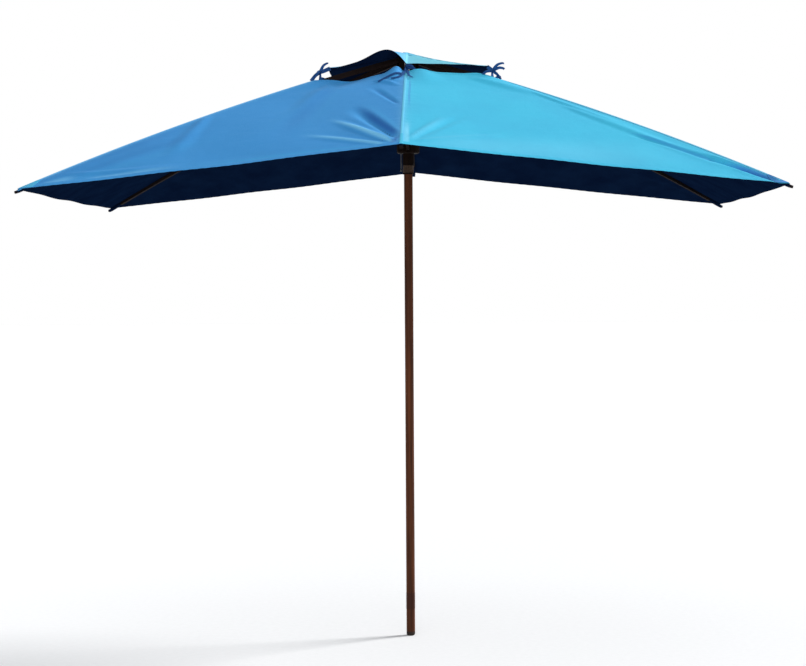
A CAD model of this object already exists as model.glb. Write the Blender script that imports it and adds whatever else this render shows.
"""Looks for a rectangular wooden market umbrella with a vented canopy.

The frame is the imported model, in metres, with the foot of the pole at the origin and
+Z up. The cloth, its ties and the hoist cord are built here, the cloth as curved sheets
over the ribs. Everything solid keeps its CAD shape and gets a procedural material.
"""
import math

import bmesh
import bpy
import numpy as np
from mathutils import Matrix, Vector


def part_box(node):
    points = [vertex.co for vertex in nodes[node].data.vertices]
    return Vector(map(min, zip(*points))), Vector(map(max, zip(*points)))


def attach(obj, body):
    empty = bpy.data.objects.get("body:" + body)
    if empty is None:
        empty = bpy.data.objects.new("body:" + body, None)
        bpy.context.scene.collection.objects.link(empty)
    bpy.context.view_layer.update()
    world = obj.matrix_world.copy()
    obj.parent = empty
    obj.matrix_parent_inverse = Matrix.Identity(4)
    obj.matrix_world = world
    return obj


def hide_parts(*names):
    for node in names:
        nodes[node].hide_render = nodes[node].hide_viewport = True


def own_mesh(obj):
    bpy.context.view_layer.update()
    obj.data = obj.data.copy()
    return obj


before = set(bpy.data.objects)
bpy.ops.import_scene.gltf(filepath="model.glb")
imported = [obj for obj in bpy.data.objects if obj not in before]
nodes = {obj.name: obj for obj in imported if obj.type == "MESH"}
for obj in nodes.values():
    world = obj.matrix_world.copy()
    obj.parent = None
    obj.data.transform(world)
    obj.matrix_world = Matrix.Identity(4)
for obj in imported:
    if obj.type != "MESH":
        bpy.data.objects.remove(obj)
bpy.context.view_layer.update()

# The ribs in order round the pole. Gore g lies between rib g and the next one.
RIBS = ["fl", "fm", "fr", "br", "bm", "bl"]
MIDDLE = ("fm", "bm")
GORES, SIDE_GORES = range(6), (2, 5)


# ---------------------------------------------------------------- frame measurements
def ridge_of(node, direction):
    """Height along a sheet's ridge, as a polynomial of the share of the rib's reach, and
    the shares where the ridge starts and ends."""
    reach = direction.length
    along = direction / reach
    points = {}
    for vertex in nodes[node].data.vertices:
        x, y, z = vertex.co
        if abs(x * along.y - y * along.x) < 1e-4:
            share = round((x * along.x + y * along.y) / reach, 4)
            points[share] = max(z, points.get(share, -1))
    shares = sorted(points)
    degree = 3 if len(shares) > 4 else 1
    return np.polyfit(shares, [points[s] for s in shares], degree), shares[0], shares[-1]


half_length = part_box("canopy_fr")[1].x
half_width = -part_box("canopy_fr")[0].y
HEM = [
    Vector((-half_length, -half_width)), Vector((0, -half_width)),
    Vector((half_length, -half_width)), Vector((half_length, half_width)),
    Vector((0, half_width)), Vector((-half_length, half_width)),
]
CANOPY = [ridge_of("canopy_" + name, HEM[k]) for k, name in enumerate(RIBS)]
CAP = [ridge_of("vent_cap_" + name, HEM[k]) for k, name in enumerate(RIBS)]
VENT = CANOPY[0][1]
CAP_HEM = CAP[0][2]

# Panels of slightly different dye lots, in the order of the gores. The front corner
# patches have a hue of their own.
LOTS = [0.0, 1.0, 0.8, 0.65, 0.45, 0.2]
PATCH_HUE = {"fl": 0.7, "fr": -0.8}
# Cloth, its sewn edges and the mesh's spacing, in metres
CLOTH = 0.0009
HEM_WIDTH, BINDING, SEAM, CAP_BINDING, CAP_SEAM = 0.020, 0.014, 0.011, 0.012, 0.010
POCKET_LENGTH, POCKET_OVERHANG = 0.070, 0.007
PATCH_LENGTH, PATCH_START_WIDTH, PATCH_WIDTH, MIDDLE_PATCH_WIDTH = 0.085, 0.012, 0.060, 0.014
EDGE_PROUD = 0.0012
CANOPY_GRID, CAP_GRID = 0.012, 0.008
CANOPY_ROWS = np.linspace(VENT, 1.0, 116)
CAP_ROWS = np.linspace(0.012, CAP_HEM, 30)
# The frame under the cloth, as the CAD has it
CAD_CLOTH_OVER_RIB = 0.0044
RIB_HALF_WIDTH, RIB_DEPTH = 0.007, 0.024
# How far the cloth dips between the ribs, and how high its other shapes stand
LONG_DIP, SIDE_DIP = 0.004, 0.006
RIPPLE_HEIGHT, CAP_RIPPLE_HEIGHT = 0.007, 0.0035
PUCKER_HEIGHT, HEM_PUCKER_HEIGHT, CAP_PUCKER_HEIGHT = 0.0005, 0.0004, 0.0008
LONG_HEM_WAVE, SIDE_HEM_WAVE = 0.0010, 0.0018
CAP_CROWN, CAP_BILLOW, CAP_BACK_SAG = 0.009, 0.064, 0.030
# Share by which the cap's front right corner is drawn out towards its tie
CAP_DRAW = 0.062
# The vent's edge is slack over this share of the reach. Its waves on the two front gores
# each have a height, a place v and a width.
SLACK_REACH = 0.16
SLACK = {
    0: [(-0.020, 0.40, 0.20), (0.026, 0.89, 0.09)],
    1: [(0.018, 0.80, 0.17), (0.014, 0.16, 0.13), (0.008, 0.50, 0.20)],
}


def plan(g, u, v):
    """Plan position of share u of the reach and share v of the way across gore g."""
    a, b = HEM[g % 6], HEM[(g + 1) % 6]
    return u * ((1 - v) * a.x + v * b.x), u * ((1 - v) * a.y + v * b.y)


def span_of(g):
    """Length of gore g's hem."""
    return math.dist(HEM[g], HEM[(g + 1) % 6])


def depth_of(g):
    """Plan distance from the pole to gore g's hem."""
    return half_length if g in SIDE_GORES else half_width


def halves_of(k):
    """The two half gores beside rib k, each as a gore and its range of v."""
    return ((k - 1) % 6, 0.5, 1.0), (k, 0.0, 0.5)


def smooth(t):
    """Eases from 0 to 1."""
    t = np.clip(t, 0, 1)
    return t * t * (3 - 2 * t)


# ---------------------------------------------------------------- folds in the cloth
def crease(g, start, end, width, height):
    """One soft fold across gore g, between two (u, v) places."""
    return (g, *plan(g, *start), *plan(g, *end), width, height)


def fold_height(folds, g, x, y):
    """What gore g's folds add up to at plan places x, y."""
    total = np.zeros_like(x)
    for gore, x0, y0, x1, y1, width, height in folds:
        if gore != g:
            continue
        dx, dy = x1 - x0, y1 - y0
        length = math.hypot(dx, dy)
        t = ((x - x0) * dx + (y - y0) * dy) / length ** 2
        off = ((x - x0) * dy - (y - y0) * dx) / length
        spread = width * (0.55 + 0.45 * np.clip(t, 0, 1.2))
        profile = (1 - 0.9 * (off / spread) ** 2) * np.exp(-(off / spread) ** 2)
        total += height * profile * smooth((t + 0.10) / 0.22) * smooth((1.15 - t) / 0.6)
    return total


# Shifts of hue: deeper where the cloth lies double or in a valley, lighter on a ridge
TONES = [
    crease(0, (0.972, 0.975), (0.725, 0.745), 0.018, 0.15),
    crease(0, (0.988, 0.960), (0.835, 0.700), 0.018, 0.12),
    crease(0, (0.990, 0.960), (0.985, 0.450), 0.040, 0.25),
    crease(0, (0.900, 0.985), (0.620, 0.800), 0.028, -1.00),
    crease(0, (0.930, 0.990), (1.050, 0.960), 0.020, -1.00),
    crease(0, (0.620, 0.975), (0.420, 0.780), 0.014, -0.35),
    crease(0, (1.000, 0.000), (0.600, 0.100), 0.090, -0.28),
    crease(0, (0.930, 0.090), (0.700, 0.240), 0.050, -0.25),
    crease(0, (0.360, 0.420), (0.800, 0.600), 0.060, -0.22),
    crease(1, (0.370, 0.036), (0.680, 0.020), 0.007, -1.00),
    crease(1, (0.720, 0.860), (0.960, 0.975), 0.016, -0.55),
    crease(1, (0.900, 0.968), (1.250, 1.010), 0.026, -1.90),
]
# Places that sun and rubbing have made paler
RUBBED = [
    crease(0, (0.972, 0.975), (0.725, 0.745), 0.018, 1.80),
    crease(0, (0.988, 0.960), (0.835, 0.700), 0.018, 1.30),
    crease(1, (0.955, 0.020), (0.740, 0.150), 0.024, 0.60),
    crease(1, (1.010, 0.012), (0.800, 0.016), 0.016, 1.80),
    crease(1, (0.960, 0.080), (0.900, 0.800), 0.170, 0.45),
    crease(0, (0.980, 0.170), (0.975, 0.400), 0.024, 0.90),
    crease(0, (0.985, 0.050), (0.960, 0.110), 0.030, 0.80),
]


def fan(g, apex, targets, width, height):
    """Folds that spread from one place, each with its own height."""
    return [
        crease(g, apex, target, width * scale, height * (1 if n % 2 == 0 else -0.8) * scale)
        for n, (*target, scale) in enumerate(targets)
    ]


rng = np.random.default_rng(7)
FOLDS = []
# Front left gore: a few strong folds that fan up from the middle of the hem
FOLDS += [
    crease(0, (0.962, 0.975), (0.740, 0.760), 0.026, 0.0105),
    crease(0, (0.930, 0.985), (0.640, 0.790), 0.036, -0.0140),
    crease(0, (0.978, 0.955), (0.850, 0.720), 0.024, 0.0060),
    crease(0, (0.620, 0.975), (0.420, 0.780), 0.022, -0.0055),
    crease(0, (0.335, 0.740), (0.430, 0.985), 0.018, 0.0050),
    crease(0, (0.300, 0.300), (0.640, 0.520), 0.060, 0.0050),
    crease(0, (0.560, 0.030), (0.880, 0.300), 0.050, 0.0060),
    crease(0, (0.930, 0.060), (0.975, 0.420), 0.024, 0.0040),
]
# Front right gore: a faint fan by the middle seam, and folds that follow the corner rib
FOLDS += [
    crease(1, (0.955, 0.020), (0.740, 0.150), 0.026, 0.0050),
    crease(1, (0.950, 0.030), (0.700, 0.230), 0.030, -0.0045),
    crease(1, (0.960, 0.040), (0.830, 0.330), 0.022, 0.0035),
    crease(1, (0.400, 0.900), (0.680, 0.925), 0.022, 0.0045),
    crease(1, (0.520, 0.860), (0.860, 0.900), 0.030, 0.0050),
    crease(1, (0.740, 0.850), (0.950, 0.968), 0.022, -0.0080),
    crease(1, (0.860, 0.945), (1.030, 0.990), 0.022, -0.0240),
    crease(1, (0.300, 0.030), (0.620, 0.018), 0.007, -0.0030),
    crease(1, (0.300, 0.620), (0.420, 0.950), 0.034, 0.0040),
]
# The other gores have the same kinds of folds at places of their own
for g in (2, 3, 4, 5):
    for corner_u, corner_v in ((0.97, 0.04), (0.97, 0.96)):
        inward = 1 if corner_v < 0.5 else -1
        FOLDS += fan(g, (corner_u, corner_v), [
            (
                rng.uniform(0.55, 0.9), corner_v + inward * rng.uniform(0.10, 0.36),
                rng.uniform(0.5, 1.0),
            )
            for _ in range(4)
        ], 0.044, 0.005)
    FOLDS.append(crease(
        g, (rng.uniform(0.3, 0.4), rng.uniform(0.3, 0.6)),
        (rng.uniform(0.6, 0.7), rng.uniform(0.4, 0.7)), 0.05, 0.004,
    ))

# Waves that the ripple is the sum of: number, heading, phase and weight
RIPPLES = [
    (rng.uniform(6, 16), rng.uniform(0, math.tau), rng.uniform(0, math.tau), rng.uniform(0.4, 1))
    for _ in range(14)
]
RIPPLE_SUM = sum(r[3] for r in RIPPLES)


def ripple(x, y):
    """Low, uneven undulation, from -1 to 1."""
    total = np.zeros_like(x)
    for number, heading, phase, weight in RIPPLES:
        total += weight * np.sin(
            number * (x * math.cos(heading) + y * math.sin(heading)) + phase
        )
    return total / RIPPLE_SUM


def canopy_surface(g, u, v):
    """Top of the canopy, as x, y, z arrays."""
    u, v = np.broadcast_arrays(np.asarray(u, float), np.asarray(v, float))
    x, y = plan(g, u, v)
    z = (1 - v) * np.polyval(CANOPY[g][0], u) + v * np.polyval(CANOPY[(g + 1) % 6][0], u)
    belly = 4 * v * (1 - v)
    side = g in SIDE_GORES
    # Folds and ripples die down towards the hem, which is taut
    calm = 0.3 + 0.7 * smooth((1 - u) / 0.07)
    span = span_of(g)
    seam = np.minimum(v, 1 - v) * u * span
    z = z - belly * (SIDE_DIP if side else LONG_DIP) * u
    z = z + fold_height(FOLDS, g, x, y) * smooth(seam / 0.05) * calm
    z = z + RIPPLE_HEIGHT * ripple(x, y) * smooth(belly * 1.6) * calm
    # Puckers along the seams and the hem
    pucker = np.exp(-seam / 0.035) * smooth(seam / 0.012)
    z = z + PUCKER_HEIGHT * pucker * np.sin(u * 150 + 3 * np.sin(u * 31 + g))
    hem = (1 - u) * depth_of(g)
    edge = np.exp(-hem / 0.03) * smooth(belly * 3)
    z = z + HEM_PUCKER_HEIGHT * edge * np.sin(v * span * 150 + g)
    # Side hems lift and dip a little, long hems stay straight
    wave = (SIDE_HEM_WAVE if side else LONG_HEM_WAVE) * belly * smooth((u - 0.6) / 0.4)
    z = z + wave * np.sin(v * 19 + g)
    # The vent's edge is slack
    slack = smooth((VENT + SLACK_REACH - u) / SLACK_REACH)
    if g in SLACK:
        shape = sum(
            height * np.exp(-((v - place) / width) ** 2) for height, place, width in SLACK[g]
        )
    else:
        shape = 0.012 * np.sin(v * 9 + g) * belly
    z = z + slack * shape * smooth(belly * 3)
    return x, y, z


def cap_surface(g, u, v):
    """Top of the vent cap. Its front left gore billows up, the back and side gores sag,
    and its front right corner is drawn out towards its tie."""
    u, v = np.broadcast_arrays(np.asarray(u, float), np.asarray(v, float))
    t = np.clip(u / CAP_HEM, 0, 1.05)
    near_tie = {1: smooth((v - 0.35) / 0.65), 2: smooth((0.65 - v) / 0.65)}.get(g, 0)
    x, y = plan(g, u * (1 + CAP_DRAW * near_tie * smooth(t)), v)

    def line(k):
        sag = 0.003 if RIBS[k] in MIDDLE else 0.007
        return np.polyval(CAP[k][0], u) - sag * 4 * t * (1 - t) + CAP_CROWN * (1 - t) ** 2

    z = (1 - v) * line(g) + v * line((g + 1) % 6)
    belly = 4 * v * (1 - v)
    if g == 0:
        z = z + CAP_BILLOW * t ** 0.9 * np.sin(math.pi * np.clip(v, 0, 1) ** 2.3)
    elif g == 1:
        z = z + 0.004 * t ** 2 * belly
    elif g in (3, 4):
        # Known fault: at a v past the gore's end the base is negative and z isn't a number.
        # np.maximum(base, 0) is the cure. See report.md.
        z = z - CAP_BACK_SAG * t ** 1.5 * np.sin(math.pi * (v if g == 3 else 1 - v) ** 0.7)
    else:
        z = z - 0.010 * t ** 2 * belly
    z = z + CAP_RIPPLE_HEIGHT * ripple(x * 4, y * 4) * smooth(belly * 2) * smooth(t * 3)
    seam = np.minimum(v, 1 - v) * u * span_of(g)
    z = z + CAP_PUCKER_HEIGHT * np.exp(-seam / 0.02) * smooth(seam / 0.008) * np.sin(u * 600 + g)
    return x, y, z


def point_on(surface, g, u, v):
    """One place on a cloth surface, as a vector."""
    return Vector([float(c) for c in np.stack(surface(g, u, v), -1)])


# ---------------------------------------------------------------- mesh building
def new_mesh(name, points, faces, materials, face_material=None, normals=None):
    """A smooth-shaded object from points and faces, linked to the scene."""
    mesh = bpy.data.meshes.new(name)
    mesh.from_pydata([tuple(p) for p in points], [], faces)
    for material in materials:
        mesh.materials.append(material)
    mesh.polygons.foreach_set("use_smooth", [True] * len(mesh.polygons))
    if face_material is not None:
        mesh.polygons.foreach_set("material_index", face_material)
    mesh.update()
    if normals is not None:
        mesh.normals_split_custom_set_from_vertices([tuple(n) for n in normals])
    piece = bpy.data.objects.new(name, mesh)
    bpy.context.scene.collection.objects.link(piece)
    return piece


def unit(vectors):
    """Vectors brought to length 1."""
    return vectors / np.maximum(np.linalg.norm(vectors, axis=-1, keepdims=True), 1e-12)


def sheet_of(name, grid, materials, attributes):
    """Closed thin sheet from a grid of top points that has one spare column each side,
    there so that the shading runs on smoothly into the next sheet."""
    down_rows = np.gradient(grid, axis=0)
    across = np.gradient(grid, axis=1)
    normal = unit(np.cross(down_rows, across))
    if normal[..., 2].mean() < 0:
        normal = -normal
    grid, normal = grid[:, 1:-1], normal[:, 1:-1]
    rows, columns = grid.shape[:2]
    count = rows * columns
    points = np.concatenate([grid.reshape(-1, 3), (grid - normal * CLOTH).reshape(-1, 3)])
    normals = np.concatenate([normal.reshape(-1, 3), -normal.reshape(-1, 3)])
    index = np.arange(count).reshape(rows, columns)
    a, b = index[:-1, :-1].ravel(), index[:-1, 1:].ravel()
    c, d = index[1:, 1:].ravel(), index[1:, :-1].ravel()
    edge_a = grid[1, 0] - grid[0, 0]
    edge_b = grid[0, 1] - grid[0, 0]
    upward = np.cross(edge_a, edge_b)[2] > 0
    top = np.stack([a, d, c, b] if upward else [a, b, c, d], 1)
    under = top[:, ::-1] + count
    rim = np.concatenate([
        index[0, :-1], index[:-1, -1], index[-1, :0:-1], index[:0:-1, 0],
    ])
    after = np.roll(rim, -1)
    wall = np.stack([rim, after, after + count, rim + count], 1)
    if not upward:
        wall = wall[:, ::-1]
    faces = np.concatenate([top, under, wall]).tolist()
    which = [0] * len(top) + [1] * len(under) + [0] * len(wall)
    piece = new_mesh(name, points, faces, materials, which, normals)
    for key, values in attributes.items():
        layer = piece.data.attributes.new(key, "FLOAT", "POINT")
        flat = values[:, 1:-1].ravel()
        layer.data.foreach_set("value", np.concatenate([flat, flat]).astype(np.float32))
    return piece


def columns_of(k, rows_u, surface, spacing):
    """A sheet's grid over rib k, from the middle of one gore to the middle of the next,
    with a spare column each side, and the gore and v of each column."""
    before, after = (k - 1) % 6, k
    counts = [max(8, round(span_of(g) * rows_u[-1] / 2 / spacing)) for g in (before, after)]
    v_before = np.linspace(0.5, 1.0, counts[0] + 1)
    v_after = np.linspace(0.0, 0.5, counts[1] + 1)[1:]
    v_before = np.concatenate([[0.5 - 0.5 / counts[0]], v_before])
    v_after = np.concatenate([v_after, [0.5 + 0.5 / counts[1]]])
    u = rows_u[:, None]
    grid = np.concatenate([
        np.stack(surface(before, u, v_before[None, :]), -1),
        np.stack(surface(after, u, v_after[None, :]), -1),
    ], axis=1)
    gore = np.concatenate([np.full(len(v_before), before), np.full(len(v_after), after)])
    return grid, gore, np.concatenate([v_before, v_after])


def flat_area(grid):
    """Area of a grid of points, which a panel's flat cut has within a hair."""
    down, across = grid[1:, :-1], grid[:-1, 1:]
    doubled = sum(
        np.linalg.norm(np.cross(down - corner, across - corner), axis=-1).sum()
        for corner in (grid[:-1, :-1], grid[1:, 1:])
    )
    return doubled / 2


class Patchwork:
    """Small sewn parts that are gathered into one piece."""

    def __init__(self):
        self.points, self.faces, self.which, self.hue, self.rub = [], [], [], [], []
        self.count = 0

    def tube(self, ring, upper, hue=0.0, rub=0.0):
        """A strip through a list of lines that go round its cross-section. The first
        upper sides take the outer cloth, and the rest take the inner one."""
        points = np.stack(ring, axis=1)
        rows, n = points.shape[:2]
        start = self.count
        for i in range(rows - 1):
            for j in range(n):
                a, b = start + i * n + j, start + i * n + (j + 1) % n
                self.faces.append((a, a + n, b + n, b))
                self.which.append(0 if j < upper else 1)
        self.faces.append(tuple(start + j for j in range(n)))
        self.faces.append(tuple(start + (rows - 1) * n + j for j in reversed(range(n))))
        self.which += [0 if upper else 1] * 2
        self.points.append(points.reshape(-1, 3))
        self.hue.append(np.full(rows * n, hue))
        self.rub.append(np.full(rows * n, rub))
        self.count += rows * n

    def piece(self, name, materials):
        """Makes the piece, with edges over 40 degrees shaded sharp."""
        made = new_mesh(name, np.concatenate(self.points), self.faces, materials, self.which)
        made.data.set_sharp_from_angle(angle=math.radians(40))
        for key, values in (("hue", self.hue), ("rub", self.rub)):
            layer = made.data.attributes.new(key, "FLOAT", "POINT")
            layer.data.foreach_set("value", np.concatenate(values).astype(np.float32))
        turn_outward(made)
        return made


def turn_outward(piece):
    """Makes every closed shell's faces look outwards."""
    work = bmesh.new()
    work.from_mesh(piece.data)
    bmesh.ops.recalc_face_normals(work, faces=work.faces)
    work.to_mesh(piece.data)
    work.free()


# ---------------------------------------------------------------- materials
class Shader:
    """A Principled material that is built up node by node."""

    def __init__(self, name, **sockets):
        self.material = bpy.data.materials.new(name)
        self.material.use_nodes = True
        self.tree = self.material.node_tree
        self.bsdf = self.tree.nodes["Principled BSDF"]
        for socket, value in sockets.items():
            self.bsdf.inputs[socket.replace("_", " ")].default_value = value

    def put(self, target, value):
        """Links a socket, or sets a plain value."""
        if isinstance(value, bpy.types.NodeSocket):
            self.tree.links.new(value, target)
        else:
            target.default_value = value

    def node(self, kind, inputs=(), output=0, **settings):
        made = self.tree.nodes.new(kind)
        for key, value in settings.items():
            setattr(made, key, value)
        for key, value in dict(inputs).items():
            self.put(made.inputs[key], value)
        return made.outputs[output]

    def noise(self, vector, scale, detail=3.0, roughness=0.55):
        return self.node("ShaderNodeTexNoise", {
            "Vector": vector, "Scale": scale, "Detail": detail, "Roughness": roughness,
        })

    def wave(self, vector, scale, distortion, direction):
        return self.node("ShaderNodeTexWave", {
            "Vector": vector, "Scale": scale, "Distortion": distortion,
        }, output=1, bands_direction=direction)

    def math(self, operation, a, b=0.0):
        return self.node("ShaderNodeMath", {0: a, 1: b}, operation=operation)

    def spread(self, value, low, high, to_low=0.0, to_high=1.0):
        return self.node("ShaderNodeMapRange", {
            "Value": value, "From Min": low, "From Max": high,
            "To Min": to_low, "To Max": to_high,
        })

    def mix(self, factor, a, b):
        made = self.tree.nodes.new("ShaderNodeMix")
        made.data_type = "RGBA"
        for key, value in ((0, factor), (6, a), (7, b)):
            self.put(made.inputs[key], value)
        return made.outputs[2]

    def bump(self, height, strength, distance, normal=None):
        inputs = {"Height": height, "Strength": strength, "Distance": distance}
        if normal is not None:
            inputs["Normal"] = normal
        return self.node("ShaderNodeBump", inputs)

    def place(self, matrix=None, scale=(1, 1, 1)):
        """Object coordinates, turned so that local X runs along matrix's first column."""
        coords = self.node("ShaderNodeTexCoord", output=3)
        turn = matrix.to_euler() if matrix else (0, 0, 0)
        turned = self.node("ShaderNodeMapping", {
            "Vector": coords, "Rotation": tuple(turn),
        }, vector_type="POINT")
        return self.node("ShaderNodeMapping", {"Vector": turned, "Scale": scale})

    def finish(self, color=None, normal=None, roughness=None):
        for socket, value in (
            ("Base Color", color), ("Normal", normal), ("Roughness", roughness),
        ):
            if value is not None:
                self.put(self.bsdf.inputs[socket], value)
        return self.material


def rgb(red, green, blue):
    return (red, green, blue, 1.0)


def darker(colour, *parts):
    """A colour with its red, green and blue brought down to these parts."""
    return rgb(*(c * part for c, part in zip(colour[:3], parts)))


def cloth_material(name, left_colour, right_colour, pale):
    """Woven awning cloth: two sets of threads, faint streaks and rubbed ridges.

    The attribute hue goes from the left colour at 0 to the right one at 1, and below 0
    to that of cloth that lies double. The attribute rub is how much it has paled.
    """
    s = Shader(name, Sheen_Weight=0.04, Sheen_Roughness=0.45, Specular_IOR_Level=0.12)
    place = s.place()
    hue = s.node("ShaderNodeAttribute", output=2, attribute_name="hue")
    rub = s.node("ShaderNodeAttribute", output=2, attribute_name="rub")
    colour = s.mix(hue, left_colour, right_colour)
    doubled = darker(left_colour, 0.35, 0.42, 0.62)
    colour = s.mix(s.math("MULTIPLY", hue, -1.0), colour, doubled)
    cloud = s.noise(place, 2.6, 4.0)
    deep = darker(left_colour, 0.70, 0.70, 0.70)
    colour = s.mix(s.spread(cloud, 0.38, 0.70, 0.0, 0.22), colour, deep)
    slub = s.noise(s.place(scale=(10, 300, 10)), 1.0, 2.0)
    colour = s.mix(s.spread(slub, 0.5, 0.75, 0.0, 0.03), colour, pale)
    colour = s.mix(s.math("MULTIPLY", rub, 0.30), colour, pale)
    warp, weft = s.wave(place, 260.0, 0.4, "X"), s.wave(place, 260.0, 0.4, "Y")
    weave = s.math("MAXIMUM", warp, weft)
    crumple = s.noise(place, 22.0, 4.0, 0.5)
    normal = s.bump(crumple, 0.16, 0.005)
    normal = s.bump(weave, 0.20, 0.0004, normal)
    return s.finish(colour, normal, s.spread(cloud, 0.3, 0.7, 0.66, 0.80))


def plain_cloth(name, colour, light, scale=300.0, shine=0.08):
    """Cloth for ribbons and the underside."""
    s = Shader(name, Specular_IOR_Level=shine)
    place = s.place()
    cloud = s.noise(place, 9.0, 4.0)
    tint = s.mix(s.spread(cloud, 0.35, 0.7), colour, light)
    rib = s.wave(place, scale, 0.6, "DIAGONAL")
    crumple = s.noise(place, 60.0, 4.0)
    normal = s.bump(crumple, 0.3, 0.003)
    normal = s.bump(rib, 0.3, 0.0004, normal)
    return s.finish(tint, normal, s.spread(cloud, 0.3, 0.7, 0.68, 0.85))


def wood_material(name, direction, dark, light, gloss=0.48, shine=0.12):
    """Stained hardwood with its grain along direction."""
    s = Shader(name, Specular_IOR_Level=shine)
    along = Vector(direction).normalized()
    side = along.orthogonal().normalized()
    turn = Matrix((along, side, along.cross(side)))
    grain = s.place(turn, (2.2, 60, 60))
    figure = s.noise(grain, 1.0, 5.0, 0.62)
    pores = s.noise(s.place(turn, (22, 900, 900)), 1.0, 2.0)
    bands = s.noise(s.place(turn, (0.9, 9, 9)), 1.0, 3.0)
    colour = s.mix(s.spread(figure, 0.32, 0.7), dark, light)
    colour = s.mix(s.spread(bands, 0.35, 0.7, 0.0, 0.45), colour, dark)
    colour = s.mix(s.spread(pores, 0.55, 0.75, 0.0, 0.5), colour, darker(dark, 0.4, 0.4, 0.4))
    normal = s.bump(figure, 0.25, 0.0012)
    normal = s.bump(pores, 0.3, 0.0004, normal)
    return s.finish(colour, normal, s.spread(figure, 0.3, 0.7, gloss, gloss + 0.16))


def steel_material():
    """Brushed steel with a few brown stains."""
    s = Shader("steel", Metallic=0.9)
    place = s.place()
    brushed = s.noise(s.place(scale=(30, 30, 900)), 1.0, 3.0)
    stain = s.noise(place, 55.0, 5.0)
    clean, stained = rgb(0.42, 0.42, 0.41), rgb(0.16, 0.12, 0.09)
    colour = s.mix(s.spread(stain, 0.5, 0.72, 0.0, 0.7), clean, stained)
    return s.finish(colour, s.bump(brushed, 0.2, 0.0003), s.spread(stain, 0.3, 0.7, 0.3, 0.55))


def rubber_material():
    """Dark rubber with dust in its grit."""
    s = Shader("rubber", Specular_IOR_Level=0.3)
    place = s.place()
    dust = s.noise(place, 70.0, 5.0)
    grit = s.noise(place, 900.0, 3.0)
    clean, dusty = rgb(0.014, 0.008, 0.005), rgb(0.05, 0.030, 0.018)
    colour = s.mix(s.spread(dust, 0.5, 0.75, 0.0, 0.6), clean, dusty)
    return s.finish(colour, s.bump(grit, 0.3, 0.0004), s.spread(dust, 0.3, 0.7, 0.6, 0.85))


def rope_material(name, dark, light):
    """Twisted cord."""
    s = Shader(name, Sheen_Weight=0.1, Specular_IOR_Level=0.1)
    place = s.place()
    twist = s.wave(place, 130.0, 1.2, "DIAGONAL")
    wear = s.noise(place, 120.0, 4.0)
    colour = s.mix(twist, dark, light)
    colour = s.mix(s.spread(wear, 0.5, 0.75, 0.0, 0.6), colour, dark)
    return s.finish(colour, s.bump(twist, 0.6, 0.0008), s.spread(wear, 0.3, 0.7, 0.7, 0.85))


PALE = rgb(0.30, 0.72, 0.95)
BLUE_LEFT, BLUE_RIGHT = rgb(0.040, 0.272, 0.620), rgb(0.045, 0.470, 0.690)
CAP_LEFT, CAP_RIGHT = rgb(0.090, 0.360, 0.620), rgb(0.130, 0.480, 0.600)
NAVY, NAVY_LIGHT = rgb(0.0018, 0.0060, 0.0220), rgb(0.0030, 0.0100, 0.0320)
canopy_top = cloth_material("canopy_cloth_top", BLUE_LEFT, BLUE_RIGHT, PALE)
cap_top = cloth_material("cap_cloth_top", CAP_LEFT, CAP_RIGHT, PALE)
underside = plain_cloth("cloth_underside", NAVY, NAVY_LIGHT, shine=0.0)
ribbon_cloth = plain_cloth(
    "ribbon_cloth", rgb(0.009, 0.040, 0.150), rgb(0.022, 0.095, 0.270), 500.0,
)
WOOD_DARK, WOOD_LIGHT = rgb(0.034, 0.009, 0.003), rgb(0.140, 0.040, 0.012)
RIB_DARK, RIB_LIGHT = rgb(0.005, 0.003, 0.003), rgb(0.020, 0.012, 0.011)
HUB_DARK, HUB_LIGHT = rgb(0.004, 0.002, 0.0015), rgb(0.012, 0.006, 0.004)
steel, rubber = steel_material(), rubber_material()
rope = rope_material("rope", rgb(0.050, 0.052, 0.055), rgb(0.130, 0.140, 0.150))
wound_rope = rope_material("wound_rope", rgb(0.020, 0.009, 0.005), rgb(0.110, 0.070, 0.045))
pole_wood = wood_material("pole_wood", (0, 0, 1), WOOD_DARK, WOOD_LIGHT)
hub_wood = wood_material("hub_wood", (0, 0, 1), HUB_DARK, HUB_LIGHT, 0.6, 0.05)
band_wood = wood_material(
    "band_finish", (0, 0, 1), rgb(0.030, 0.008, 0.004), rgb(0.075, 0.022, 0.011), 0.4,
)


def lengthwise(node):
    """Direction in which a rib or strut runs, down and away from the pole."""
    low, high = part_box(node)
    k = RIBS.index(node[-2:])
    out = HEM[k].normalized()
    size = high - low
    run = math.hypot(size.x if abs(out.x) > 0.1 else 0, size.y)
    rise = size.z if node.startswith("strut") else -size.z
    return Vector((out.x * run, out.y * run, rise))


def finish_node(node, material):
    """Puts one material on a CAD node that keeps its shape."""
    target = nodes[node].data.materials
    if not target:
        target.append(material)
    for slot in range(len(target)):
        target[slot] = material


finish_node("pole", pole_wood)
for name in ("crown", "crown_button", "runner"):
    finish_node(name, hub_wood)
for name in ("crown_pins", "runner_pins", "knuckle_fm", "knuckle_bm"):
    finish_node(name, steel)
finish_node("foot_cap", rubber)
finish_node("foot_band", band_wood)
finish_node("cord_coil", wound_rope)
for name in RIBS:
    for kind in ("rib_", "strut_"):
        finish_node(kind + name, wood_material(
            kind + "wood_" + name, lengthwise(kind + name), RIB_DARK, RIB_LIGHT, 0.6, 0.05,
        ))
    finish_node("bracket_" + name, steel)
    finish_node("bracket_pins_" + name, steel)


# ---------------------------------------------------------------- riding and folding
def with_rib(piece, k):
    """Rides a rib and gathers flat against it as the umbrella closes."""
    name = RIBS[k]
    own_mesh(piece)
    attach(piece, "rib_body_" + name)


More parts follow.
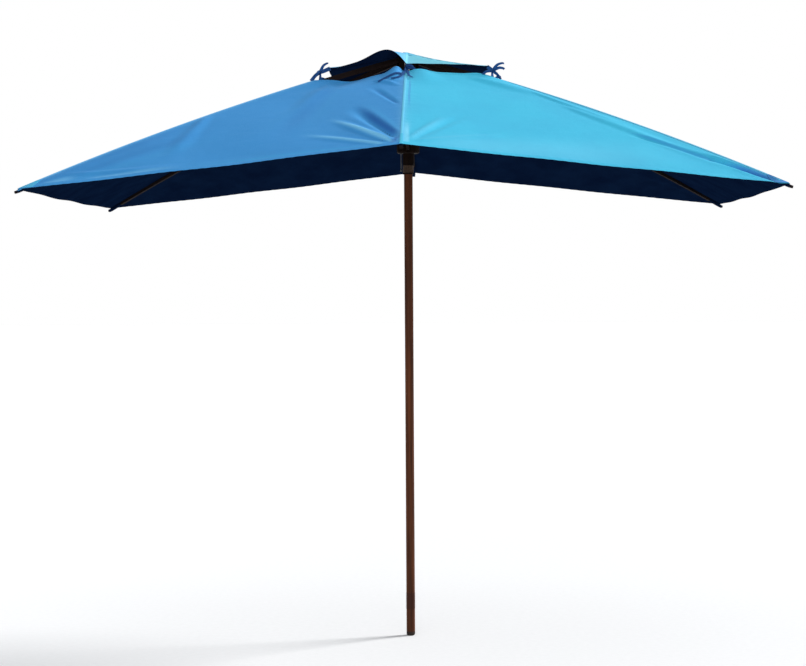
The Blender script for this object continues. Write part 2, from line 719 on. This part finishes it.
# ---------------------------------------------------------------- canopy and vent cap
def rub_of(gore, v, u):
    """How much a sheet's columns have paled: most along its seams."""
    spans = np.array([span_of(g) for g in GORES])
    seam = np.minimum(v, 1 - v)[None, :] * u[:, None] * spans[gore][None, :]
    return np.exp(-seam / 0.012)


def cloth_sector(kind, k, rows_u, surface, spacing, materials):
    """The sheet over rib k, with its flat width, length and area."""
    name = RIBS[k]
    grid, gore, v = columns_of(k, rows_u, surface, spacing)
    hue = np.repeat(np.array(LOTS)[gore][None, :], len(grid), axis=0)
    rub = rub_of(gore, v, rows_u)
    if kind == "canopy":
        x, y = grid[..., 0], grid[..., 1]
        for g in set(gore):
            hue = np.where(gore == g, hue + fold_height(TONES, g, x, y), hue)
            rub = np.where(gore == g, rub + np.maximum(fold_height(RUBBED, g, x, y), 0), rub)
    piece = sheet_of(f"{kind}_cloth_{name}", grid, materials, {"hue": hue, "rub": rub})
    with_rib(piece, k)
    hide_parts(f"{kind}_{name}")
    inner = grid[:, 1:-1]
    lengths = np.linalg.norm(np.diff(inner, axis=0), axis=-1).sum(axis=0)
    widths = np.linalg.norm(np.diff(inner, axis=1), axis=-1).sum(axis=1)
    flat = round(float(widths.max()), 3), round(float(lengths.max()), 3)
    return piece, flat, round(float(flat_area(inner)), 4)


def with_normal(surface, g, u, v):
    """Places on a cloth surface and the direction out of the cloth there."""
    step = 1e-4
    here = np.stack(surface(g, u, v), -1)
    down = np.stack(surface(g, u + step, v), -1) - here
    across = np.stack(surface(g, u, v + step), -1) - here
    normal = unit(np.cross(down, across))
    return here, np.where(normal[..., 2:] < 0, -normal, normal)


def side_share(g, first, width, u):
    """Share v that lies width away from a gore's first or second rib."""
    a, b = HEM[g], HEM[(g + 1) % 6]
    cross = abs(a.x * b.y - a.y * b.x) / (a if first else b).length
    share = width / (u * cross)
    return share if first else 1 - share


def add_seam(work, k, surface, start, end, widths, above, rows, edge=0.4, rub=1.0, hue=None):
    """Felled seam or patch that lies over rib k, as wide as widths says from start to end."""
    u = np.linspace(start, end, rows)
    half = np.interp(np.linspace(0, 1, rows), np.linspace(0, 1, len(widths)), widths) / 2
    before = (k - 1) % 6
    left, normal_left = with_normal(surface, before, u, side_share(before, False, half, u))
    right, normal_right = with_normal(surface, k, u, side_share(k, True, half, u))
    middle, _ = with_normal(surface, k, u, np.zeros_like(u))
    normal = unit(normal_left + normal_right)
    work.tube([
        left + normal_left * above * edge, middle + normal * above,
        right + normal_right * above * edge, right - normal_right * CLOTH * 0.5,
        middle - normal * CLOTH * 0.5, left - normal_left * CLOTH * 0.5,
    ], 5, LOTS[k] if hue is None else hue, rub)


def add_hem(work, g, v_from, v_to, u_in, u_out, surface, thick, rows):
    """Turned hem along one stretch of a gore's edge, round both faces of the cloth."""
    v = np.linspace(v_from, v_to, rows)
    lines = []
    for part, lift in ((0.0, 0.3), (0.12, 1.0), (0.6, 1.0), (1.0, 0.6)):
        u = u_in + (u_out - u_in) * part
        here, normal = with_normal(surface, g, np.full_like(v, u), v)
        lines.append((here + normal * thick * lift, here - normal * (CLOTH + thick * lift)))
    work.tube([top for top, _ in lines] + [low for _, low in lines[::-1]], 3, LOTS[g])


def add_pocket(work, k):
    """Sewn pocket that the rib's end sits in. The front left one has outer cloth on top."""
    out = HEM[k].normalized()
    side = Vector((-out.y, out.x))
    reach, rows, around = HEM[k].length, 9, 16
    u = np.linspace(1 - POCKET_LENGTH / reach, 1 + POCKET_OVERHANG / reach, rows)
    ridge = np.polyval(CANOPY[k][0], u)
    swell = np.interp(np.arange(rows), [0, 1, 6, 7, 8], [1.05, 1.0, 1.0, 0.97, 0.80])
    half_wide, half_high, drop = 0.0084, 0.0072, 0.0102
    ring = []
    for n in range(around):
        turn = math.tau * (n + 0.5) / around
        wide = math.copysign(abs(math.cos(turn)) ** 0.45, math.cos(turn)) * half_wide
        high = math.copysign(abs(math.sin(turn)) ** 0.45, math.sin(turn)) * half_high
        ring.append(np.stack([
            HEM[k].x * u + side.x * wide * swell, HEM[k].y * u + side.y * wide * swell,
            ridge - drop + high * swell,
        ], -1))
    work.tube(ring, 9 if RIBS[k] == "fl" else 0, LOTS[k], 0.4)


def curve_through(points, steps=10):
    """Smooth line through points, as an array."""
    points = [Vector(p) for p in points]
    padded = [2 * points[0] - points[1], *points, 2 * points[-1] - points[-2]]
    line = []
    for a, b, c, d in zip(padded, padded[1:], padded[2:], padded[3:]):
        for n in range(steps):
            t = n / steps
            line.append(0.5 * (
                2 * b + (c - a) * t + (2 * a - 5 * b + 4 * c - d) * t ** 2
                + (3 * b - a - 3 * c + d) * t ** 3
            ))
    line.append(points[-1])
    return np.array([tuple(p) for p in line])


def add_ribbon(work, points, facing, width=0.009, thick=0.0009, twist=0.0, taper=1.0):
    """Flat ribbon along a smooth line. facing is the way its flat side looks at the start,
    twist how far it turns over by its end, in radians, and taper the width it ends with."""
    line = curve_through(points)
    along = unit(np.gradient(line, axis=0))
    facing = np.array(facing, float)
    flat = unit(facing[None, :] - along * (along @ facing)[:, None])
    share = np.linspace(0, 1, len(line))
    edge = unit(np.cross(along, flat))
    turn = (twist * share)[:, None]
    edge, flat = (
        edge * np.cos(turn) + flat * np.sin(turn), flat * np.cos(turn) - edge * np.sin(turn),
    )
    half = (width / 2 * (1 + (taper - 1) * share))[:, None]
    curl = 0.0010
    top, under = flat * (thick / 2 - curl), flat * (thick / 2 + curl)
    work.tube([
        line - edge * half + top, line + flat * thick / 2, line + edge * half + top,
        line + edge * half - under, line - flat * thick / 2, line - edge * half - under,
    ], 6)


def add_knot(work, centre, radius):
    """Small tight knot: three turns of ribbon pulled together."""
    for tilt in (0.2, 1.25, 2.3):
        axis_a = Vector((math.cos(tilt), math.sin(tilt), 0.25)).normalized()
        axis_b = axis_a.orthogonal().normalized()
        points = [
            Vector(centre) + radius * (math.cos(a) * axis_a + 0.8 * math.sin(a) * axis_b)
            for a in (math.tau * n / 10 for n in range(11))
        ]
        add_ribbon(work, points, axis_a.cross(axis_b), width=0.0045, thick=0.0012)


def build_canopy():
    """The main canopy, a cloth sector and its seams, hems and pocket for each rib."""
    for k, name in enumerate(RIBS):
        canopy, flat, area = cloth_sector(
            "canopy", k, CANOPY_ROWS, canopy_surface, CANOPY_GRID,
            [canopy_top, underside],
        )
        work = Patchwork()
        add_seam(work, k, canopy_surface, VENT, 0.985, [SEAM, SEAM], above=0.0020, rows=90)
        patch_start = 1 - PATCH_LENGTH / HEM[k].length
        patch_end_width = MIDDLE_PATCH_WIDTH if name in MIDDLE else PATCH_WIDTH
        add_seam(work, k, canopy_surface, patch_start, 0.9985,
                 [PATCH_START_WIDTH, patch_end_width], above=0.0022, rows=16,
                 edge=0.7, rub=0.3, hue=PATCH_HUE.get(name))
        for g, v_from, v_to in halves_of(k):
            add_hem(work, g, v_from, v_to, 1 - HEM_WIDTH / depth_of(g), 1 + EDGE_PROUD,
                    canopy_surface, thick=0.0008, rows=70)
            add_hem(work, g, v_from, v_to, VENT + BINDING / depth_of(g), VENT - EDGE_PROUD,
                    canopy_surface, thick=0.0008, rows=40)
        add_pocket(work, k)
        trim = work.piece("canopy_trim_" + name, [canopy_top, underside])
        with_rib(trim, k)


def build_cap():
    """The vent cap, a cloth sector and its seams and binding for each rib."""
    for k, name in enumerate(RIBS):
        cap, flat, area = cloth_sector(
            "vent_cap", k, CAP_ROWS, cap_surface, CAP_GRID, [cap_top, underside],
        )
        work = Patchwork()
        add_seam(work, k, cap_surface, 0.03, CAP_HEM - 0.002, [CAP_SEAM, CAP_SEAM],
                 above=0.0016, rows=24)
        for g, v_from, v_to in halves_of(k):
            add_hem(work, g, v_from, v_to, CAP_HEM - CAP_BINDING / depth_of(g),
                    CAP_HEM + EDGE_PROUD, cap_surface, thick=0.0007, rows=44)
        trim = work.piece("vent_cap_trim_" + name, [cap_top, underside])
        with_rib(trim, k)


def cap_height(x, y):
    """Height of the cap's top over a plan position."""
    for g in GORES:
        a, b = HEM[g], HEM[(g + 1) % 6]
        across = a.x * b.y - a.y * b.x
        first = (x * b.y - y * b.x) / across
        second = (a.x * y - a.y * x) / across
        if first >= -1e-9 and second >= -1e-9:
            u = first + second
            v = second / u
            return float(cap_surface(g, max(u, 1e-5), v)[2])
    raise ValueError(f"no gore holds {x}, {y}")


def build_patch():
    """Round patch over the middle of the cap, stitched down round its edge."""
    rings, around, lift, ruffle = 7, 60, 0.0012, 0.0004
    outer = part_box("apex_patch")[1].x
    points, faces = [], []
    for under in (False, True):
        for i in range(rings + 1):
            r = max(outer * i / rings, 0.0008)
            for j in range(around):
                turn = math.tau * j / around
                x, y = r * math.cos(turn), r * math.sin(turn)
                z = cap_height(x, y) + lift - ruffle * (i == rings)
                z += ruffle * math.sin(9 * turn) * (i / rings) ** 2
                points.append((x, y, z - (CLOTH if under else 0)))
    count = (rings + 1) * around
    for i in range(rings):
        for j in range(around):
            a, b = i * around + j, i * around + (j + 1) % around
            faces.append((a, a + around, b + around, b))
            faces.append((b + count, b + around + count, a + around + count, a + count))
    for j in range(around):
        a, b = rings * around + j, rings * around + (j + 1) % around
        faces.append((a, a + count, b + count, b))
    faces.append(tuple(range(around)))
    faces.append(tuple(count + j for j in reversed(range(around))))
    patch = new_mesh("apex_patch_cloth", points, faces, [cap_top])
    layer = patch.data.attributes.new("hue", "FLOAT", "POINT")
    layer.data.foreach_set("value", np.full(len(points), 0.6, np.float32))
    turn_outward(patch)
    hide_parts("apex_patch")
    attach(patch, "pole_body")


# How far each tie's knot stands off the rib, and where its loose ends reach from the knot
TIES = {
    "fl": (0.026, [(0.036, -0.012, 0.036), (-0.018, -0.020, -0.020)]),
    "fm": (0.004, [(0.030, -0.012, 0.006), (0.042, -0.024, -0.016)]),
    "fr": (0.026, [(0.050, -0.006, 0.030), (0.050, -0.016, 0.004), (-0.052, -0.030, -0.034)]),
    "br": (0.024, [(0.045, 0.012, 0.026), (-0.020, 0.030, -0.020)]),
    "bm": (0.006, [(-0.030, 0.008, 0.008), (0.050, 0.028, -0.020)]),
    "bl": (0.024, [(-0.040, 0.010, 0.028), (0.018, 0.030, -0.020)]),
}
# Loose ends that lie on the cloth: a gore, and the (u, v) places on it
LAID = {
    "fm": [
        (0, [(0.300, 0.975), (0.325, 0.920), (0.345, 0.860), (0.374, 0.795)]),
        (0, [(0.295, 0.980), (0.345, 0.950), (0.365, 0.890)]),
        (1, [(0.290, 0.020), (0.325, 0.030), (0.350, 0.060)]),
    ],
}


def build_ties():
    """Ribbon ties: a loop round the rib, a knot, ribbons to the cap and canopy, loose ends."""
    for k, name in enumerate(RIBS):
        stand_off, ends = TIES[name]
        out = HEM[k].normalized()
        side = Vector((-out.y, out.x, 0))
        reach = HEM[k].length
        r = (VENT * 0.97) * reach - 0.012
        rib_top = float(np.polyval(CANOPY[k][0], r / reach)) - CAD_CLOTH_OVER_RIB
        slope = math.atan(-float(np.polyval(np.polyder(CANOPY[k][0]), r / reach)) / reach)
        at = Vector((out.x * r, out.y * r, rib_top))
        forward = Vector((out.x * math.cos(slope), out.y * math.cos(slope), -math.sin(slope)))
        upward = side.cross(forward) * -1
        if upward.z < 0:
            upward = -upward
        work = Patchwork()
        # Two turns round the rib
        lift = 0.0014
        wide, deep = RIB_HALF_WIDTH + lift, RIB_DEPTH + lift
        inset = side * wide * 0.7
        corners = [
            at + upward * lift + inset, at + upward * lift - inset,
            at - side * wide - upward * 0.002, at - side * wide - upward * (deep - 0.004),
            at - upward * deep - inset, at - upward * deep + inset,
            at + side * wide - upward * (deep - 0.004), at + side * wide - upward * 0.002,
            at + upward * lift + inset,
        ]
        for shift in (-0.004, 0.003):
            add_ribbon(work, [c + forward * shift for c in corners], forward.cross(side), 0.006)
        # Up to the knot, and from it to the cap's corner and the canopy's edge
        knot = at + Vector((0, 0, stand_off + 0.006))
        cap_corner = point_on(cap_surface, k, CAP_HEM, 0.0)
        hold = point_on(canopy_surface, k, VENT + 0.010, 0.0)
        toward = Vector((out.x, out.y, 0))
        for shift in (-0.003, 0.003):
            add_ribbon(work, [
                at + upward * lift + side * shift * 2,
                at + Vector((0, 0, stand_off * 0.6)) + side * shift, knot,
            ], toward, 0.012)
        add_ribbon(work, [
            cap_corner - Vector((0, 0, 0.001)) - toward * 0.010,
            (cap_corner * 0.55 + knot * 0.45) - Vector((0, 0, 0.004)), knot,
        ], Vector((0, 0, 0.3)) + side, 0.017, twist=0.4)
        add_ribbon(work, [
            knot, (knot * 0.5 + hold * 0.5) + Vector((0, 0, 0.006)), hold + Vector((0, 0, 0.002)),
        ], Vector((0, 0, 0.3)) + side, 0.015, twist=-0.3)
        add_knot(work, knot, 0.006 if name in MIDDLE else 0.010)
        # Loose ends, lying on the cloth or free
        for gore, places in LAID.get(name, []):
            lying = [
                point_on(canopy_surface, gore, *place) + Vector((0, -0.002, 0.006))
                for place in places
            ]
            add_ribbon(work, [knot] + lying, Vector((0, -0.7, 1)), 0.013, twist=0.3, taper=0.6)
        for turn, end in enumerate(ends):
            end = Vector(end)
            bulge = Vector((0, 0, 0.010)) + side * (0.006 if turn % 2 else -0.006)
            outward = Vector((0, -1.0 if out.y < 0 else 1.0, 0.2))
            add_ribbon(work, [
                knot, knot + end * 0.45 + bulge, knot + end * 0.85 + bulge * 0.6, knot + end,
            ], outward, 0.014, twist=0.5 - 0.5 * turn, taper=0.6)
        tie = work.piece("tie_ribbon_" + name, [ribbon_cloth, ribbon_cloth])
        with_rib(tie, k)
        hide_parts("tie_" + name)


def build_cord():
    """The hoist cord, straight and taut from inside the crown to its knot."""
    low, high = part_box("hoist_cord")
    x, y = (low.x + high.x) / 2, 0.0
    diameter, knot_radius, count = 0.005, 0.0045, 24
    top, bottom = high.z, low.z + knot_radius
    curve = bpy.data.curves.new("hoist_cord_rope", "CURVE")
    curve.dimensions = "3D"
    curve.bevel_depth = diameter / 2
    curve.bevel_resolution = 5
    curve.use_fill_caps = True
    spline = curve.splines.new("POLY")
    spline.points.add(count - 1)
    for n, point in enumerate(spline.points):
        point.co = (x, y, top + (bottom - top) * n / (count - 1), 1)
    curve.materials.append(rope)
    cord = bpy.data.objects.new("hoist_cord_rope", curve)
    bpy.context.scene.collection.objects.link(cord)
    work = Patchwork()
    add_knot(work, (x, y, bottom), knot_radius)
    knot = work.piece("hoist_cord_knot", [rope, rope])
    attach(cord, "pole_body")
    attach(knot, "pole_body")
    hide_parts("hoist_cord")


build_canopy()
build_cap()
build_patch()
build_ties()
build_cord()


# ---------------------------------------------------------------- camera, light, floor
CAMERA_PLACE, LENS = (0.23, -8.47, 1.572), 85.76
YAW_PITCH_ROLL = (-1.74, -1.57, -0.33)
AMBIENT = 0.52
FLOOR_HALF = 60.0


def build_camera():
    """A long lens at standing eye height, a little to the right of the pole."""
    yaw, pitch, roll = (math.radians(a) for a in YAW_PITCH_ROLL)
    forward = Vector((
        math.sin(yaw) * math.cos(pitch), math.cos(yaw) * math.cos(pitch), math.sin(pitch),
    ))
    right = Vector((math.cos(yaw), -math.sin(yaw), 0))
    up = right.cross(forward)
    c, s = math.cos(roll), math.sin(roll)
    turned_right = c * right + s * up
    turned_up = -s * right + c * up
    data = bpy.data.cameras.new("camera")
    data.lens = LENS
    data.sensor_width = 36
    camera = bpy.data.objects.new("camera", data)
    rotation = Matrix((turned_right, turned_up, -forward)).transposed().to_4x4()
    camera.matrix_world = Matrix.Translation(CAMERA_PLACE) @ rotation
    bpy.context.scene.collection.objects.link(camera)
    bpy.context.scene.camera = camera


def sun(name, towards, strength, spread):
    """A soft distant light that comes from a direction, spread in degrees."""
    data = bpy.data.lights.new(name, "SUN")
    data.energy = strength
    data.angle = math.radians(spread)
    lamp = bpy.data.objects.new(name, data)
    lamp.rotation_euler = Vector(towards).to_track_quat("Z", "Y").to_euler()
    bpy.context.scene.collection.objects.link(lamp)


def build_stage():
    """White surroundings, a key and a fill light, and a pale floor."""
    world = bpy.data.worlds.new("studio")
    world.use_nodes = True
    tree = world.node_tree
    lit = tree.nodes["Background"]
    lit.inputs["Color"].default_value = rgb(0.93, 0.96, 1.0)
    lit.inputs["Strength"].default_value = AMBIENT
    seen = tree.nodes.new("ShaderNodeBackground")
    seen.inputs["Color"].default_value = rgb(1.0, 1.0, 1.0)
    seen.inputs["Strength"].default_value = 1.0
    ray = tree.nodes.new("ShaderNodeLightPath")
    blend = tree.nodes.new("ShaderNodeMixShader")
    tree.links.new(ray.outputs["Is Camera Ray"], blend.inputs[0])
    tree.links.new(lit.outputs[0], blend.inputs[1])
    tree.links.new(seen.outputs[0], blend.inputs[2])
    tree.links.new(blend.outputs[0], tree.nodes["World Output"].inputs["Surface"])
    bpy.context.scene.world = world
    sun("key", towards=(0.8, 0.4, 0.48), strength=4.4, spread=22)
    sun("fill", towards=(-0.15, -1.0, 0.16), strength=1.3, spread=60)
    s = Shader("floor", Specular_IOR_Level=0.1, Roughness=0.9)
    speckle = s.noise(s.place(), 40.0, 4.0)
    s.finish(s.mix(s.spread(speckle, 0.3, 0.7), rgb(0.84, 0.84, 0.84), rgb(0.87, 0.87, 0.87)))
    corners = [
        (FLOOR_HALF * x, FLOOR_HALF * y, 0) for x, y in ((-1, -1), (1, -1), (1, 1), (-1, 1))
    ]
    floor = new_mesh("floor", corners, [(0, 1, 2, 3)], [s.material])


build_camera()
build_stage()
bpy.context.scene.view_settings.view_transform = "Standard"
